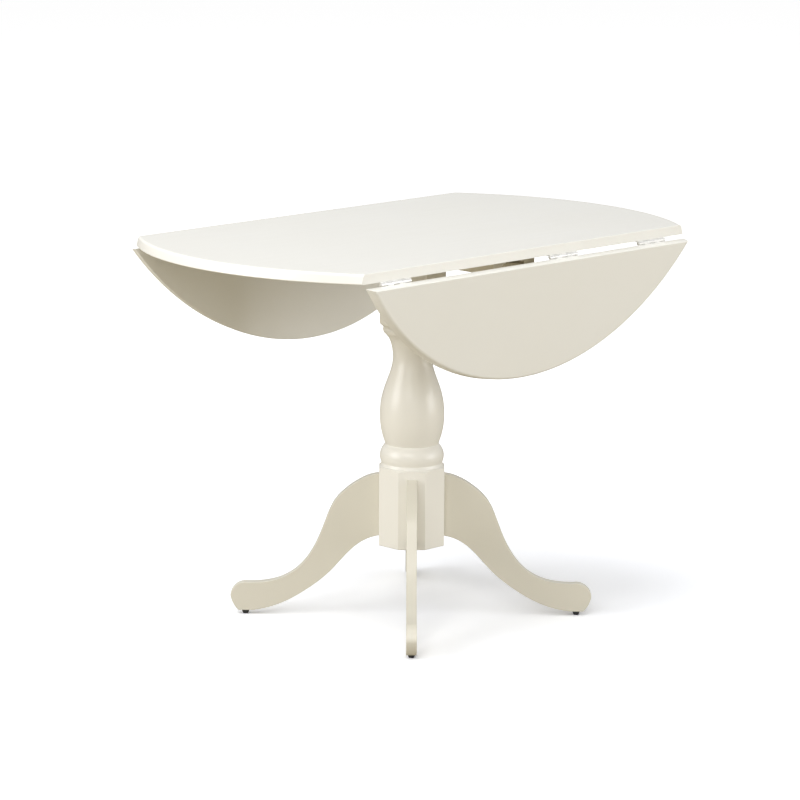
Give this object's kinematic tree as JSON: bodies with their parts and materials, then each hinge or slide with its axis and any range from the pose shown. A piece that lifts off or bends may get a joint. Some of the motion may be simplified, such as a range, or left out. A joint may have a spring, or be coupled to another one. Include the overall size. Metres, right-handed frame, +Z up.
{
  "type": "drop leaf table",
  "caption": "Round pedestal dining table with two hinged drop leaves, pull-out leaf supports, a turned column and S-shaped legs.",
  "frame": {"origin": "on the floor under the middle of the round top, midway between the four glides", "axes": "+Z up; +Y along the hinge lines, the longest way of the table with its leaves down; +X across the leaves, towards leaf_right"},
  "size_m": [0.6604, 1.0666, 0.76],
  "materials": {
    "painted_wood": "satin off-white paint over hardwood, brush and spray coat with soft edges",
    "slide_wood": "satin off-white paint, rubbed on its sliding faces",
    "dowel_wood": "plain beech",
    "hinge_steel": "bright nickel-plated steel",
    "plate_steel": "black powder coat",
    "fastener_steel": "bright zinc-plated steel",
    "glide_plastic": "black moulded plastic"
  },
  "bodies": {
    "table_frame": {"back_batten": "painted_wood", "batten_screws": "fastener_steel", "center_panel": "painted_wood", "front_batten": "painted_wood", "glide_back": "glide_plastic", "glide_front": "glide_plastic", "glide_left": "glide_plastic", "glide_nails": "fastener_steel", "glide_right": "glide_plastic", "left_hinge_1_panel_plate": "hinge_steel", "left_hinge_1_pin": "hinge_steel", "left_hinge_2_panel_plate": "hinge_steel", "left_hinge_2_pin": "hinge_steel", "left_hinge_3_panel_plate": "hinge_steel", "left_hinge_3_pin": "hinge_steel", "leg_back": "painted_wood", "leg_bolts": "fastener_steel", "leg_front": "painted_wood", "leg_left": "painted_wood", "leg_nuts": "fastener_steel", "leg_right": "painted_wood", "leg_washers": "fastener_steel", "mount_plate": "plate_steel", "panel_hinge_screws": "fastener_steel", "pedestal_column": "painted_wood", "plate_to_batten_screws": "fastener_steel", "plate_to_column_screws": "fastener_steel", "right_hinge_1_panel_plate": "hinge_steel", "right_hinge_1_pin": "hinge_steel", "right_hinge_2_panel_plate": "hinge_steel", "right_hinge_2_pin": "hinge_steel", "right_hinge_3_panel_plate": "hinge_steel", "right_hinge_3_pin": "hinge_steel"},
    "leaf_right": {"leaf_right": "painted_wood", "right_hinge_1_leaf_plate": "hinge_steel", "right_hinge_2_leaf_plate": "hinge_steel", "right_hinge_3_leaf_plate": "hinge_steel", "right_leaf_hinge_screws": "fastener_steel"},
    "leaf_left": {"leaf_left": "painted_wood", "left_hinge_1_leaf_plate": "hinge_steel", "left_hinge_2_leaf_plate": "hinge_steel", "left_hinge_3_leaf_plate": "hinge_steel", "left_leaf_hinge_screws": "fastener_steel"},
    "slide_right": {"right_slide": "slide_wood", "right_slide_stop": "dowel_wood"},
    "slide_left": {"left_slide": "slide_wood", "left_slide_stop": "dowel_wood"}
  },
  "joints": [
    {"name": "leaf_right_hinge", "type": "hinge", "parent": "table_frame", "child": "leaf_right", "pos_m": [0.308, 0, 0.737], "axis": [0, -1, 0], "range_deg": [-10, 98.3]},
    {"name": "leaf_left_hinge", "type": "hinge", "parent": "table_frame", "child": "leaf_left", "pos_m": [-0.308, 0, 0.737], "axis": [0, 1, 0], "range_deg": [-10, 98.3]},
    {"name": "slide_right_travel", "type": "slide", "parent": "table_frame", "child": "slide_right", "axis": [1, 0, 0], "range_m": [0, 0.076]},
    {"name": "slide_left_travel", "type": "slide", "parent": "table_frame", "child": "slide_left", "axis": [-1, 0, 0], "range_m": [0, 0.076]}
  ]
}
